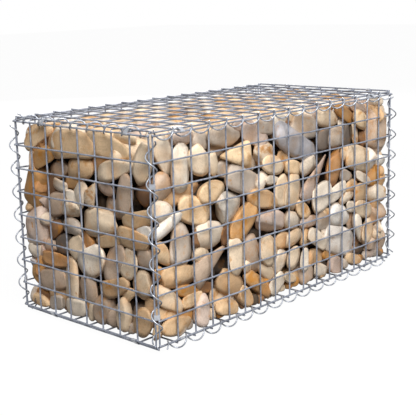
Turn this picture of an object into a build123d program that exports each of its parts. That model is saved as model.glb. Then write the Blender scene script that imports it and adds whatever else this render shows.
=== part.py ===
from build123d import *
import os
from math import hypot, sqrt

os.makedirs("parts", exist_ok=True)

# A gabion wall: a basket of six welded mesh panels, laced along its edges by
# wire spirals and sleeve clips, and filled with river pebbles.
# Millimetres. X runs along the wall, the front faces -Y, the top +Z.
# The origin is the middle of the footprint, on the ground.

# Mesh
mesh = 50.0
cells_long = 16
cells_wide = 8
cells_high = 8
wire_d = 3.5
wire_sides = 8
weld_sink = 0.5
wire_end = 3.0
end_clearance = 0.25

# Spirals that lace two panels together
spiral_wire_d = 3.0
spiral_bore = 16.6
spiral_play = 0.2
spiral_trim = 8.0
hanging_lead = 20.0

# Sleeve clips round the two edge wires
clip_sheet = 1.0
clip_play = 0.1
clip_length = 10.0
clip_mouth = 3.0
clip_seat = 0.3

# Pebble fill
fill_play = 0.3
fill_round = 40.0

# The block of whole cells, measured to the axes of its outer wires
block_long = cells_long * mesh
block_wide = cells_wide * mesh
block_high = cells_high * mesh

# A panel has two layers of wire, a weld apart. Its inner layer stands clear
# of the block, so that its wire ends miss the next panel's wires.
wire_r = wire_d / 2
weld_step = wire_d - weld_sink
panel_gap = wire_end + wire_r + end_clearance
outer_gap = panel_gap + weld_step

# At each edge of the block two wires run side by side. Their places are given
# as (outward one way, outward the other way) from the block's own edge.
post_wires = ((0.0, panel_gap), (panel_gap, 0.0))
long_wires = ((0.0, panel_gap), (outer_gap, 0.0))
short_wires = ((0.0, outer_gap), (outer_gap, 0.0))

spiral_r = (spiral_bore + spiral_wire_d) / 2
spiral_outer_r = spiral_r + spiral_wire_d / 2
wire_reach = spiral_bore / 2 - wire_r - spiral_play


def outward(wires):
    """Unit direction, square to the line between two edge wires, pointing out."""
    (p1, q1), (p2, q2) = wires
    spread = hypot(p2 - p1, q1 - q2)
    return (q1 - q2) / spread, (p2 - p1) / spread


def spiral_centre(wires, side=1):
    """Axis of the spiral that holds two edge wires: it lies outside them, or inside for side -1."""
    (p1, q1), (p2, q2) = wires
    half = hypot(p2 - p1, q2 - q1) / 2
    lift = side * sqrt(wire_reach**2 - half**2)
    out_p, out_q = outward(wires)
    return (p1 + p2) / 2 + out_p * lift, (q1 + q2) / 2 + out_q * lift


# The basket stands on the two long bottom spirals
block_bottom = spiral_centre(long_wires)[1] + spiral_outer_r
block_middle = block_bottom + block_high / 2


class EdgeLine:
    """One edge of the block: where it starts, where it runs and its two wires.

    A spiral stands out from its wires, or hangs from them by its own weight.
    A hanging one turns a little ahead, to miss the ends of the cross wires.
    """

    def __init__(self, start, run, out_p, out_q, length, wires, hangs=False):
        self.start = Vector(*start)
        self.run = Vector(*run)
        self.out_p = Vector(*out_p)
        self.out_q = Vector(*out_q)
        self.length = length
        self.wires = wires
        self.hangs = hangs

    def point(self, place, station):
        p, q = place
        return self.start + self.out_p * p + self.out_q * q + self.run * station

    def out(self):
        p, q = outward(self.wires)
        return self.out_p * p + self.out_q * q

    def spiral_foot(self):
        return self.point(spiral_centre(self.wires, -1 if self.hangs else 1), spiral_trim)


def post(sx, sy):
    start = (sx * block_long / 2, sy * block_wide / 2, block_bottom)
    return EdgeLine(start, (0, 0, 1), (sx, 0, 0), (0, sy, 0), block_high, post_wires)


def long_edge(sy, sz, hangs=False):
    start = (-block_long / 2, sy * block_wide / 2, block_middle + sz * block_high / 2)
    return EdgeLine(start, (1, 0, 0), (0, sy, 0), (0, 0, sz), block_long, long_wires, hangs)


def short_edge(sx, sz):
    start = (sx * block_long / 2, -block_wide / 2, block_middle + sz * block_high / 2)
    return EdgeLine(start, (0, 1, 0), (sx, 0, 0), (0, 0, sz), block_wide, short_wires)


laced_edges = {
    "front_left": post(-1, -1),
    "front_right": post(1, -1),
    "back_left": post(-1, 1),
    "back_right": post(1, 1),
    "top_front": long_edge(-1, 1, hangs=True),
    "bottom_front": long_edge(-1, -1),
    "bottom_back": long_edge(1, -1),
    "top_left": short_edge(-1, 1),
}

# The other four edges have clips only
clipped_edges = {
    "top_back": long_edge(1, 1),
    "top_right": short_edge(1, 1),
    "bottom_left": short_edge(-1, -1),
    "bottom_right": short_edge(1, -1),
}


def write(piece, name):
    piece.label = name
    export_step(piece, f"parts/{name}.step")
    print(f"{name}: {piece.volume / 1000:.1f} cm3")


def welded_mesh(cells_across, cells_up, row_level, column_level):
    """Flat mesh round the origin: rows run along X, columns along Y."""
    row_half = cells_across * mesh / 2 + wire_end
    column_half = cells_up * mesh / 2 + wire_end
    with BuildPart() as flat:
        with BuildSketch(Plane.YZ.offset(-row_half)):
            with Locations((0, row_level)):
                with GridLocations(mesh, mesh, cells_up + 1, 1):
                    wire_section()
        extrude(amount=2 * row_half)
        with BuildSketch(Plane.XZ.offset(-column_half)):
            with Locations((0, column_level)):
                with GridLocations(mesh, mesh, cells_across + 1, 1):
                    wire_section()
        extrude(amount=2 * column_half)
    return flat.part


def wire_section():
    """Section of a mesh wire, with flats that meet at the welds."""
    RegularPolygon(wire_r, wire_sides, major_radius=False, rotation=180 / wire_sides)


# Walls carry their level wires outside, the lid and base their short wires
long_wall = welded_mesh(cells_long, cells_high, weld_step, 0)
end_wall = welded_mesh(cells_wide, cells_high, weld_step, 0)
flat_wall = welded_mesh(cells_long, cells_wide, 0, weld_step)

wall_y = block_wide / 2 + panel_gap
wall_x = block_long / 2 + panel_gap
lid_z = block_middle + block_high / 2 + panel_gap
base_z = block_middle - block_high / 2 - panel_gap

with BuildPart() as front_panel:
    with Locations(Plane((0, -wall_y, block_middle), x_dir=(1, 0, 0), z_dir=(0, -1, 0))):
        add(long_wall)
write(front_panel.part, "front_panel")

with BuildPart() as back_panel:
    with Locations(Plane((0, wall_y, block_middle), x_dir=(-1, 0, 0), z_dir=(0, 1, 0))):
        add(long_wall)
write(back_panel.part, "back_panel")

with BuildPart() as left_end_panel:
    with Locations(Plane((-wall_x, 0, block_middle), x_dir=(0, -1, 0), z_dir=(-1, 0, 0))):
        add(end_wall)
write(left_end_panel.part, "left_end_panel")

with BuildPart() as right_end_panel:
    with Locations(Plane((wall_x, 0, block_middle), x_dir=(0, 1, 0), z_dir=(1, 0, 0))):
        add(end_wall)
write(right_end_panel.part, "right_end_panel")

with BuildPart() as lid_panel:
    with Locations(Plane((0, 0, lid_z), x_dir=(1, 0, 0), z_dir=(0, 0, 1))):
        add(flat_wall)
write(lid_panel.part, "lid_panel")

with BuildPart() as base_panel:
    with Locations(Plane((0, 0, base_z), x_dir=(1, 0, 0), z_dir=(0, 0, -1))):
        add(flat_wall)
write(base_panel.part, "base_panel")


def spiral_turns(run):
    """Left-handed turns from the origin up, one turn to each mesh cell."""
    with BuildPart() as turns:
        with BuildLine() as path:
            Helix(pitch=mesh, height=run, radius=spiral_r, lefthand=True)
        with BuildSketch(Plane(origin=path.line @ 0, z_dir=path.line % 0)):
            Circle(spiral_wire_d / 2)
        sweep(is_frenet=True)
    return turns.part


turns_by_length = {
    length: spiral_turns(length - 2 * spiral_trim)
    for length in sorted({edge.length for edge in laced_edges.values()})
}

# A spiral is turned so that it passes outside level with the cross wires, and
# through the mesh in the middle of each cell
for edge_name, edge in laced_edges.items():
    run_axis = Axis((0, 0, 0), edge.run)
    lead = hanging_lead if edge.hangs else 0
    first_turn = edge.out().rotate(run_axis, lead - 360 * spiral_trim / mesh)
    with BuildPart() as spiral:
        with Locations(Plane(edge.spiral_foot(), x_dir=first_turn, z_dir=edge.run)):
            add(turns_by_length[edge.length])
    write(spiral.part, f"{edge_name}_spiral")

# Two clips an edge, in the second cell from each end: beside a cross wire where
# the spiral passes outside, or in mid-cell where a hanging one passes inside
for edge_name, edge in (laced_edges | clipped_edges).items():
    first_wire, second_wire = edge.wires
    seat = (mesh - clip_length) / 2 if edge.hangs else wire_r + clip_seat
    with BuildPart() as clips:
        for station in (mesh + seat, edge.length - 2 * mesh + seat):
            low = edge.point(first_wire, station)
            high = edge.point(second_wire, station)
            spread = (high - low).length
            clip_plane = Plane((low + high) / 2, x_dir=high - low, z_dir=edge.run)
            inward = -1 if clip_plane.y_dir.dot(edge.out()) > 0 else 1
            with BuildSketch(clip_plane):
                SlotCenterToCenter(spread, wire_d + 2 * clip_play + 2 * clip_sheet)
                SlotCenterToCenter(spread, wire_d + 2 * clip_play, mode=Mode.SUBTRACT)
                with Locations((0, inward * (wire_r + clip_play + clip_sheet / 2))):
                    Rectangle(clip_mouth, 2 * clip_sheet, mode=Mode.SUBTRACT)
            extrude(amount=clip_length)
    write(clips.part, f"{edge_name}_clips")

# The pebbles as one mass, rounded along its edges to clear the spirals
slack = 2 * (panel_gap - wire_r - fill_play)
with BuildPart() as stone_fill:
    with Locations((0, 0, block_middle)):
        Box(block_long + slack, block_wide + slack, block_high + slack)
    fillet(stone_fill.edges(), fill_round)
write(stone_fill.part, "stone_fill")
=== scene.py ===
# %% [markdown]
# A gabion wall is a cage of welded wire mesh, laced at its edges with wire
# spirals and packed with stones. The cage is already modelled: it is loaded
# here as a fixed frame, and every piece below is made in that same frame, in
# metres, with +Z up and the long front face towards -Y.

# %% Load the frame
from math import cos, pi, radians, sin

import bpy
import numpy as np
from mathutils import Matrix, Vector


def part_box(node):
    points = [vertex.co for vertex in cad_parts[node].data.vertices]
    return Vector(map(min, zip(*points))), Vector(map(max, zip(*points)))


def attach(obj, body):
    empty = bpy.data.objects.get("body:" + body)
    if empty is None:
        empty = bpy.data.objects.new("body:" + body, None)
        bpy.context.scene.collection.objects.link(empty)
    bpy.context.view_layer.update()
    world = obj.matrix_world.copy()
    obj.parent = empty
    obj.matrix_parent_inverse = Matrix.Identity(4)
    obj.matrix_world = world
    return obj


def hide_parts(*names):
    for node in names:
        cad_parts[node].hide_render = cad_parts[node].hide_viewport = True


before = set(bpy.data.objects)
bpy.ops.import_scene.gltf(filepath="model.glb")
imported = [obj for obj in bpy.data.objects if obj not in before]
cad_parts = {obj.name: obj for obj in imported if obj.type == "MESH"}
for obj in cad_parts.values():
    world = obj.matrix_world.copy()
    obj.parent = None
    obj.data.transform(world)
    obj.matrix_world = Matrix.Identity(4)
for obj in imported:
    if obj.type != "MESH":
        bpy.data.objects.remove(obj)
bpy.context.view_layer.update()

MM = 0.001

# %% [markdown]
# The cage gives every size that the stones need. The outer wires of a panel
# are named by their axes, so half a wire is taken off each side of its box.

# %% Sizes from the frame
MESH = 50 * MM
WIRE_R = 1.75 * MM
WIRE_END = 3 * MM

front_low, front_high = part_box("front_panel")
left_low, left_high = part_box("left_end_panel")
CELLS_LONG = round((front_high.x - front_low.x - 2 * WIRE_END) / MESH)
CELLS_WIDE = round((left_high.y - left_low.y - 2 * WIRE_END) / MESH)
CELLS_HIGH = round((front_high.z - front_low.z - 2 * WIRE_END) / MESH)
BLOCK_LOW = Vector((-CELLS_LONG * MESH / 2, -CELLS_WIDE * MESH / 2, front_low.z + WIRE_END))
BLOCK_HIGH = Vector((CELLS_LONG * MESH / 2, CELLS_WIDE * MESH / 2, front_high.z - WIRE_END))
MIDDLE = (BLOCK_LOW + BLOCK_HIGH) / 2
PANEL_GAP = BLOCK_LOW.y - (front_high.y - WIRE_R)
WELD_STEP = front_high.y - front_low.y - 2 * WIRE_R
print("cells", CELLS_LONG, CELLS_WIDE, CELLS_HIGH)
print("panel gap and weld step, mm", round(PANEL_GAP / MM, 2), round(WELD_STEP / MM, 2))

# %% [markdown]
# The photograph looks at the front left corner from a little above the lid.
# The camera's place was worked out from the crossings of the wires. Its
# principal point lies a little up and left of the middle, so the lens has a
# small shift, and the horizon tips slightly, which is the roll.

# %% Camera
PHOTO_SIDE = 416
FOCAL_PX = 931
PRINCIPAL_PX = (188, 188)
CAMERA_AT = Vector((-1.553, -1.400, 0.661))
AZIMUTH = radians(-46.11)
ELEVATION = radians(11.60)
ROLL = radians(1.71)
SENSOR_MM = 36.0

camera_data = bpy.data.cameras.new("camera")
camera_data.sensor_width = SENSOR_MM
camera_data.lens = FOCAL_PX * SENSOR_MM / PHOTO_SIDE
camera_data.shift_x = (PHOTO_SIDE / 2 - PRINCIPAL_PX[0]) / PHOTO_SIDE
camera_data.shift_y = -(PHOTO_SIDE / 2 - PRINCIPAL_PX[1]) / PHOTO_SIDE
camera = bpy.data.objects.new("camera", camera_data)
bpy.context.scene.collection.objects.link(camera)
back = Vector((sin(AZIMUTH) * cos(ELEVATION), -cos(AZIMUTH) * cos(ELEVATION), sin(ELEVATION)))
right = (-back).cross(Vector((0, 0, 1))).normalized()
up = right.cross(-back)
rolled_right = cos(ROLL) * right - sin(ROLL) * up
rolled_up = sin(ROLL) * right + cos(ROLL) * up
camera.matrix_world = Matrix((
    (rolled_right.x, rolled_up.x, back.x, CAMERA_AT.x),
    (rolled_right.y, rolled_up.y, back.y, CAMERA_AT.y),
    (rolled_right.z, rolled_up.z, back.z, CAMERA_AT.z),
    (0, 0, 0, 1),
))
bpy.context.scene.camera = camera
bpy.context.scene.view_settings.view_transform = "Standard"

# %% [markdown]
# One helper turns a written colour into the linear values that a shader wants,
# and one adds a node with its settings and links. Every material below is made
# with these two.

# %% Helpers for materials
def linear(hex_colour):
    """sRGB hex, such as D8C8A8, to linear RGBA."""
    channels = [int(hex_colour[i:i + 2], 16) / 255 for i in (0, 2, 4)]
    curve = [c / 12.92 if c <= 0.04045 else ((c + 0.055) / 1.055) ** 2.4 for c in channels]
    return (*curve, 1.0)


def add_node(tree, kind, links=(), settings=(), **values):
    """A node of this kind, its settings, its input values and the sockets that feed it."""
    node = tree.nodes.new(kind)
    for name, value in settings:
        setattr(node, name, value)
    for name, value in values.items():
        node.inputs[name.replace("_", " ")].default_value = value
    for socket, source in links:
        tree.links.new(source, node.inputs[socket])
    return node


def new_material(name):
    material = bpy.data.materials.new(name)
    material.use_nodes = True
    material.node_tree.nodes.clear()
    return material, material.node_tree


# %% [markdown]
# The object stands in an even white studio. The world and the floor are white
# only where the camera or a reflection looks at them, and light the object at
# a plain level. The key light is a wide soft one, high at the front left, and a
# weaker one lights the back and the right end, which the photograph doesn't show.

# %% World, floor and lamps
WORLD_LIGHT = 0.045
FLOOR_WHITE = 0.975
FLOOR_BOUNCE = "464646"
KEY_WATTS = 355
KEY_AT = (-1.65, -2.5, 3.0)
KEY_SIZE = 2.6
BACK_WATTS = 130
BACK_AT = (2.8, 3.0, 1.2)
BACK_SIZE = 2.0


def plainly_seen(tree):
    """1 where the camera, a reflection or glass looks at the surface, 0 where it lights the object."""
    path = add_node(tree, "ShaderNodeLightPath")
    seen = path.outputs["Is Camera Ray"]
    for ray in ("Is Glossy Ray", "Is Transmission Ray"):
        seen = add_node(tree, "ShaderNodeMath", settings=[("operation", "MAXIMUM")],
                        links=[(0, seen), (1, path.outputs[ray])]).outputs[0]
    return seen


world = bpy.data.worlds.new("studio")
bpy.context.scene.world = world
world.use_nodes = True
world.node_tree.nodes.clear()
tree = world.node_tree
lit = add_node(tree, "ShaderNodeBackground", Color=linear("F4F6FA"), Strength=WORLD_LIGHT)
shown = add_node(tree, "ShaderNodeBackground", Color=(1, 1, 1, 1), Strength=1.0)
mixed = add_node(tree, "ShaderNodeMixShader",
                 links=[(0, plainly_seen(tree)), (1, lit.outputs[0]), (2, shown.outputs[0])])
add_node(tree, "ShaderNodeOutputWorld", links=[("Surface", mixed.outputs[0])])

floor_material, tree = new_material("white_floor")
matt = add_node(tree, "ShaderNodeBsdfDiffuse", Color=linear(FLOOR_BOUNCE))
pale = add_node(tree, "ShaderNodeBsdfDiffuse", Color=linear("F6F6F6"))
glow = add_node(tree, "ShaderNodeEmission", Color=(1, 1, 1, 1), Strength=1.0)
shown = add_node(tree, "ShaderNodeMixShader", Fac=FLOOR_WHITE,
                 links=[(1, pale.outputs[0]), (2, glow.outputs[0])])
mixed = add_node(tree, "ShaderNodeMixShader",
                 links=[(0, plainly_seen(tree)), (1, matt.outputs[0]), (2, shown.outputs[0])])
add_node(tree, "ShaderNodeOutputMaterial", links=[("Surface", mixed.outputs[0])])

bpy.ops.object.select_all(action="DESELECT")
bpy.ops.mesh.primitive_plane_add(size=30, location=(0, 0, 0))
floor = bpy.context.object
floor.name = "floor"
floor.data.materials.append(floor_material)


def area_lamp(name, watts, at, size, colour):
    lamp_data = bpy.data.lights.new(name, "AREA")
    lamp_data.energy = watts
    lamp_data.size = size
    lamp_data.color = linear(colour)[:3]
    lamp = bpy.data.objects.new(name, lamp_data)
    lamp.location = at
    lamp.rotation_euler = (MIDDLE - Vector(at)).to_track_quat("-Z", "Y").to_euler()
    bpy.context.scene.collection.objects.link(lamp)


area_lamp("key_lamp", KEY_WATTS, KEY_AT, KEY_SIZE, "FFFCF8")
area_lamp("back_lamp", BACK_WATTS, BACK_AT, BACK_SIZE, "F8FAFF")

# %% [markdown]
# Mesh wire, spirals and clips are galvanised steel: bright zinc when new, then
# a dull silver with a faint blue cast. Zinc freezes in small crystals called
# spangles, 2 to 8 mm across on thin wire, which shift the brightness from
# patch to patch. They are drawn with a Voronoi pattern on Object coordinates.

# %% Galvanised steel
SPANGLE_MM = 5
DRAW_MARK_MM = 0.8
ZINC_DULL = "565B68"
ZINC_BRIGHT = "8E94A2"


def galvanised_steel(name, dull, bright, roughness):
    material, tree = new_material(name)
    place = add_node(tree, "ShaderNodeTexCoord")
    spangle = add_node(tree, "ShaderNodeTexVoronoi", links=[("Vector", place.outputs["Object"])],
                       Scale=1 / (SPANGLE_MM * MM))
    cloud = add_node(tree, "ShaderNodeTexNoise", links=[("Vector", place.outputs["Object"])],
                     Scale=1 / (12 * SPANGLE_MM * MM), Detail=3.0)
    blend = add_node(tree, "ShaderNodeMath", settings=[("operation", "MULTIPLY_ADD")],
                     links=[(0, spangle.outputs["Color"]), (2, cloud.outputs["Fac"])])
    blend.inputs[1].default_value = 0.45
    colour = add_node(tree, "ShaderNodeValToRGB", links=[("Fac", blend.outputs[0])])
    colour.color_ramp.elements[0].position = 0.35
    colour.color_ramp.elements[0].color = linear(dull)
    colour.color_ramp.elements[1].position = 0.95
    colour.color_ramp.elements[1].color = linear(bright)
    rough = add_node(tree, "ShaderNodeMapRange", links=[("Value", cloud.outputs["Fac"])],
                     To_Min=roughness - 0.08, To_Max=roughness + 0.12)
    marks = add_node(tree, "ShaderNodeTexNoise", links=[("Vector", place.outputs["Object"])],
                     Scale=1 / (DRAW_MARK_MM * MM), Detail=2.0)
    bump = add_node(tree, "ShaderNodeBump", links=[("Height", marks.outputs["Fac"])],
                    Strength=0.25, Distance=0.1 * MM)
    steel = add_node(tree, "ShaderNodeBsdfPrincipled", Metallic=0.3,
                     links=[("Base Color", colour.outputs["Color"]), ("Roughness", rough.outputs[0]),
                            ("Normal", bump.outputs[0])])
    add_node(tree, "ShaderNodeOutputMaterial", links=[("Surface", steel.outputs[0])])
    return material


mesh_wire_zinc = galvanised_steel("galvanised_mesh_wire", ZINC_DULL, ZINC_BRIGHT, 0.42)
spiral_wire_zinc = galvanised_steel("galvanised_spiral_wire", "565B65", "9A9FA9", 0.24)
clip_zinc = galvanised_steel("zinc_plated_clip_sheet", "7E838D", "AEB2BA", 0.3)

# %% [markdown]
# A welded mesh is two layers of drawn wire, pressed together and fused at each
# crossing. A real wire is round and never quite straight. One wire is modelled
# by extruding a ring step by step, then copied: each copy is bent a little
# between its welds, which stay where the frame has them.

# %% Small modelling helpers
rng = np.random.default_rng(20)
WIRE_SIDES = 12
STEPS_PER_CELL = 4


def fresh_start():
    bpy.ops.object.select_all(action="DESELECT")


def take_shape(piece):
    """The vertices and quads of a piece, which is then deleted."""
    points = np.array([v.co for v in piece.data.vertices])
    faces = [list(p.vertices) for p in piece.data.polygons]
    bpy.data.objects.remove(piece)
    return points, faces


def join_shapes(name, shapes, material, smooth=True):
    """One object from many (points, faces) pairs."""
    points = np.concatenate([s[0] for s in shapes])
    sizes = np.array([len(f) for s in shapes for f in s[1]])
    corners = []
    start = 0
    for shape_points, faces in shapes:
        corners.append(np.concatenate([np.array(f) for f in faces]) + start)
        start += len(shape_points)
    corners = np.concatenate(corners)
    mesh = bpy.data.meshes.new(name)
    mesh.vertices.add(len(points))
    mesh.vertices.foreach_set("co", points.ravel())
    mesh.loops.add(len(corners))
    mesh.loops.foreach_set("vertex_index", corners)
    mesh.polygons.add(len(sizes))
    mesh.polygons.foreach_set("loop_start", np.concatenate([[0], np.cumsum(sizes)[:-1]]))
    mesh.polygons.foreach_set("use_smooth", np.full(len(sizes), smooth))
    mesh.update(calc_edges=True)
    mesh.validate()
    mesh.materials.append(material)
    piece = bpy.data.objects.new(name, mesh)
    bpy.context.scene.collection.objects.link(piece)
    return piece


# %% One straight wire and one weld
def straight_wire(cells):
    """A round wire along X from 0, as a ring that is extruded step by step."""
    fresh_start()
    bpy.ops.mesh.primitive_circle_add(vertices=WIRE_SIDES, radius=WIRE_R, fill_type="NGON",
                                      rotation=(0, pi / 2, 0))
    wire = bpy.context.object
    bpy.ops.object.transform_apply(rotation=True)
    bpy.ops.object.mode_set(mode="EDIT")
    bpy.ops.mesh.select_all(action="SELECT")
    steps = [WIRE_END] + [MESH / STEPS_PER_CELL] * (cells * STEPS_PER_CELL) + [WIRE_END]
    for step in steps:
        bpy.ops.mesh.extrude_region_move(TRANSFORM_OT_translate={"value": (step, 0, 0)})
    bpy.ops.mesh.select_all(action="SELECT")
    bpy.ops.mesh.normals_make_consistent(inside=False)
    bpy.ops.object.mode_set(mode="OBJECT")
    return take_shape(wire)


def weld_bead():
    """The squeezed-out metal round a weld, as a flattened ball of few faces."""
    fresh_start()
    bpy.ops.mesh.primitive_uv_sphere_add(segments=8, ring_count=5, radius=1.5 * WIRE_R)
    bead = bpy.context.object
    bpy.ops.object.mode_set(mode="EDIT")
    bpy.ops.transform.resize(value=(1.05, 1.05, 0.6))
    bpy.ops.object.mode_set(mode="OBJECT")
    return take_shape(bead)


wire_shapes = {cells: straight_wire(cells) for cells in {CELLS_LONG, CELLS_WIDE, CELLS_HIGH}}
bead_shape = weld_bead()
print("wire points", {cells: len(shape[0]) for cells, shape in wire_shapes.items()})

# %% [markdown]
# Each panel is laid out flat, with its inner layer of wires on the origin's
# plane and its outer layer one weld step above, and then turned into place.
# The bend is a half wave between welds, a fraction of a millimetre high.

# %% The six mesh panels
WIRE_BOW = 0.5 * MM


def bent_wire(cells, bow):
    points, faces = wire_shapes[cells]
    points = points.copy()
    along = np.clip(points[:, 0] - WIRE_END, 0, cells * MESH)
    cell = np.minimum((along / MESH).astype(int), cells - 1)
    wave = np.sin(pi * along / MESH) ** 2
    sideways = rng.normal(0, bow, cells)
    points[:, 1] += wave * sideways[cell]
    points[:, 0] -= WIRE_END + cells * MESH / 2
    return points, faces


def turned(shape, matrix, shift):
    points, faces = shape
    return points @ np.array(matrix).T + np.array(shift), faces


ROW_TURN = ((1, 0, 0), (0, 1, 0), (0, 0, 1))
COLUMN_TURN = ((0, -1, 0), (1, 0, 0), (0, 0, 1))


def mesh_panel(name, across, high, row_level, column_level, origin, x_dir, z_dir):
    """A panel of welded wires: rows run along its X, columns along its Y."""
    z_axis = np.array(z_dir, float)
    x_axis = np.array(x_dir, float)
    place = np.column_stack([x_axis, np.cross(z_axis, x_axis), z_axis])
    shapes = []
    for row in range(high + 1):
        level = (0, (row - high / 2) * MESH, row_level)
        shapes.append(turned(bent_wire(across, WIRE_BOW), ROW_TURN, level))
    for column in range(across + 1):
        level = ((column - across / 2) * MESH, 0, column_level)
        shapes.append(turned(bent_wire(high, WIRE_BOW), COLUMN_TURN, level))
    for row in range(high + 1):
        for column in range(across + 1):
            middle = ((column - across / 2) * MESH, (row - high / 2) * MESH, WELD_STEP / 2)
            shapes.append(turned(bead_shape, ROW_TURN, middle))
    placed = [turned(shape, place, origin) for shape in shapes]
    panel = join_shapes(f"{name}_wires", placed, mesh_wire_zinc)
    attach(panel, "root")
    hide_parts(name)
    return panel


wall_y = -BLOCK_LOW.y + PANEL_GAP
wall_x = -BLOCK_LOW.x + PANEL_GAP
lid_z = BLOCK_HIGH.z + PANEL_GAP
base_z = BLOCK_LOW.z - PANEL_GAP
PANELS = (
    ("front_panel", CELLS_LONG, CELLS_HIGH, (0, -wall_y, MIDDLE.z), (1, 0, 0), (0, -1, 0)),
    ("back_panel", CELLS_LONG, CELLS_HIGH, (0, wall_y, MIDDLE.z), (-1, 0, 0), (0, 1, 0)),
    ("left_end_panel", CELLS_WIDE, CELLS_HIGH, (-wall_x, 0, MIDDLE.z), (0, -1, 0), (-1, 0, 0)),
    ("right_end_panel", CELLS_WIDE, CELLS_HIGH, (wall_x, 0, MIDDLE.z), (0, 1, 0), (1, 0, 0)),
    ("lid_panel", CELLS_LONG, CELLS_WIDE, (0, 0, lid_z), (1, 0, 0), (0, 0, 1)),
    ("base_panel", CELLS_LONG, CELLS_WIDE, (0, 0, base_z), (1, 0, 0), (0, 0, -1)),
)
for panel_name, across, high, origin, x_dir, z_dir in PANELS:
    lies_flat = panel_name in ("lid_panel", "base_panel")
    row_level, column_level = (0, WELD_STEP) if lies_flat else (WELD_STEP, 0)
    mesh_panel(panel_name, across, high, row_level, column_level, origin, x_dir, z_dir)

# %% [markdown]
# The spirals and clips of the frame already have their true shape, so they
# stay and only take their finish.

# %% Finish the spirals and clips
for node_name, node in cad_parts.items():
    if node_name.endswith("_spiral") or node_name.endswith("_clips"):
        node.data.materials.clear()
        node.data.materials.append(spiral_wire_zinc if node_name.endswith("_spiral") else clip_zinc)

# %% [markdown]
# River pebbles are blocks of rock that water has rounded: eggs, flat ovals,
# blunt blocks and a few with a broken face. Eleven kinds are modelled as a
# sculptor would start: a subdivided cube drawn to a sphere, tapered, with flats
# pressed into it, smoothed, and then made lumpy with a Displace modifier.

# %% Pebble shapes
FLAT_SQUASH = 0.12
FINE_CUTS = 8
COARSE_CUTS = 3


def turn_mesh(turn_z, turn_y):
    bpy.ops.mesh.select_all(action="SELECT")
    bpy.ops.transform.rotate(value=radians(turn_z), orient_axis="Z", center_override=(0, 0, 0))
    bpy.ops.transform.rotate(value=radians(turn_y), orient_axis="Y", center_override=(0, 0, 0))


def press_flat(stone, depth):
    """Press the part of the mesh beyond this share of its reach along X to a near flat."""
    bpy.ops.mesh.select_all(action="DESELECT")
    bpy.ops.object.mode_set(mode="OBJECT")
    limit = depth * max(vertex.co.x for vertex in stone.data.vertices)
    for vertex in stone.data.vertices:
        vertex.select = vertex.co.x > limit
    bpy.ops.object.mode_set(mode="EDIT")
    bpy.ops.transform.resize(value=(FLAT_SQUASH, 1, 1), center_override=(limit, 0, 0))


def pebble(name, cuts, roundness, taper, flats, lumps, smooth, seed):
    """A pebble of unit size: from box to ball, thinner towards +X, flattened and lumpy."""
    fresh_start()
    bpy.ops.mesh.primitive_cube_add(size=2)
    stone = bpy.context.object
    bpy.ops.object.mode_set(mode="EDIT")
    bpy.ops.mesh.select_mode(type="VERT")
    bpy.ops.mesh.select_all(action="SELECT")
    bpy.ops.mesh.subdivide(number_cuts=cuts)
    bpy.ops.transform.tosphere(value=roundness)
    for turn_z, turn_y, depth in flats:
        turn_mesh(turn_z, turn_y)
        press_flat(stone, depth)
    for turn_z, turn_y, depth in reversed(flats):
        turn_mesh(0, -turn_y)
        turn_mesh(-turn_z, 0)
    bpy.ops.mesh.select_all(action="SELECT")
    bpy.ops.mesh.vertices_smooth(factor=0.5, repeat=smooth)
    bpy.ops.object.mode_set(mode="OBJECT")
    bend = stone.modifiers.new("taper", "SIMPLE_DEFORM")
    bend.deform_method = "TAPER"
    bend.deform_axis = "X"
    bend.factor = -taper
    bpy.ops.object.modifier_apply(modifier="taper")
    offset = Vector((3.7, 1.9, 5.3)) * seed
    stone.data.transform(Matrix.Translation(offset))
    for number, (size, strength) in enumerate(((1.1, lumps), (0.45, lumps * 0.25))):
        texture = bpy.data.textures.new(f"{name}_{number}", "CLOUDS")
        texture.noise_scale = size
        lump = stone.modifiers.new("lumps", "DISPLACE")
        lump.texture = texture
        lump.texture_coords = "LOCAL"
        lump.strength = strength
        lump.mid_level = 0.5
        bpy.ops.object.modifier_apply(modifier="lumps")
    points, faces = take_shape(stone)
    points -= (points.max(0) + points.min(0)) / 2
    points /= np.abs(points).max(0)
    return points, np.array(faces)


# Each pebble: its roundness and taper, its flats (turn, turn, depth), lumps and smoothing
PEBBLE_KINDS = {
    "round": (1.0, 0.1, ((30, 60, 0.8), (80, -40, 0.8)), 0.14, 2),
    "oval": (0.94, 0.12, ((0, 90, 0.62), (0, 180, 0.7), (40, 50, 0.82)), 0.12, 2),
    "bread": (0.9, 0.18, ((90, 0, 0.66), (-90, 90, 0.62)), 0.14, 2),
    "cobble": (0.74, 0.12, ((0, 90, 0.66), (25, -90, 0.82), (65, 0, 0.82), (100, 0, 0.84)), 0.12, 1),
    "egg": (0.96, 0.5, ((0, 90, 0.66), (90, 0, 0.85)), 0.12, 2),
    "block": (0.6, 0.08, ((0, 60, 0.8), (30, 60, 0.85)), 0.12, 1),
    "slab": (0.72, 0.2, ((0, 90, 0.55), (0, 180, 0.62), (35, 0, 0.85)), 0.12, 1),
    "wedge": (0.85, 0.85, ((0, 90, 0.6),), 0.12, 1),
    "triangle": (0.9, 0.3, ((60, 0, 0.55), (120, 0, 0.6), (120, 0, 0.6)), 0.1, 1),
    "broken": (0.8, 0.2, ((40, 30, 0.6), (75, -40, 0.65), (100, 50, 0.7), (35, -60, 0.62)), 0.22, 0),
    "potato": (0.9, 0.2, ((50, 20, 0.72), (90, 30, 0.76)), 0.32, 1),
}
fine_pebbles = {}
coarse_pebbles = {}
for seed, (kind, settings) in enumerate(PEBBLE_KINDS.items()):
    *form, smooth = settings
    fine_pebbles[kind] = pebble(kind, FINE_CUTS, *form, smooth, seed)
    coarse_pebbles[kind] = pebble(f"{kind}_coarse", COARSE_CUTS, *form, 1, seed)
print("faces of a pebble", len(fine_pebbles["egg"][1]), len(coarse_pebbles["egg"][1]))

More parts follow.
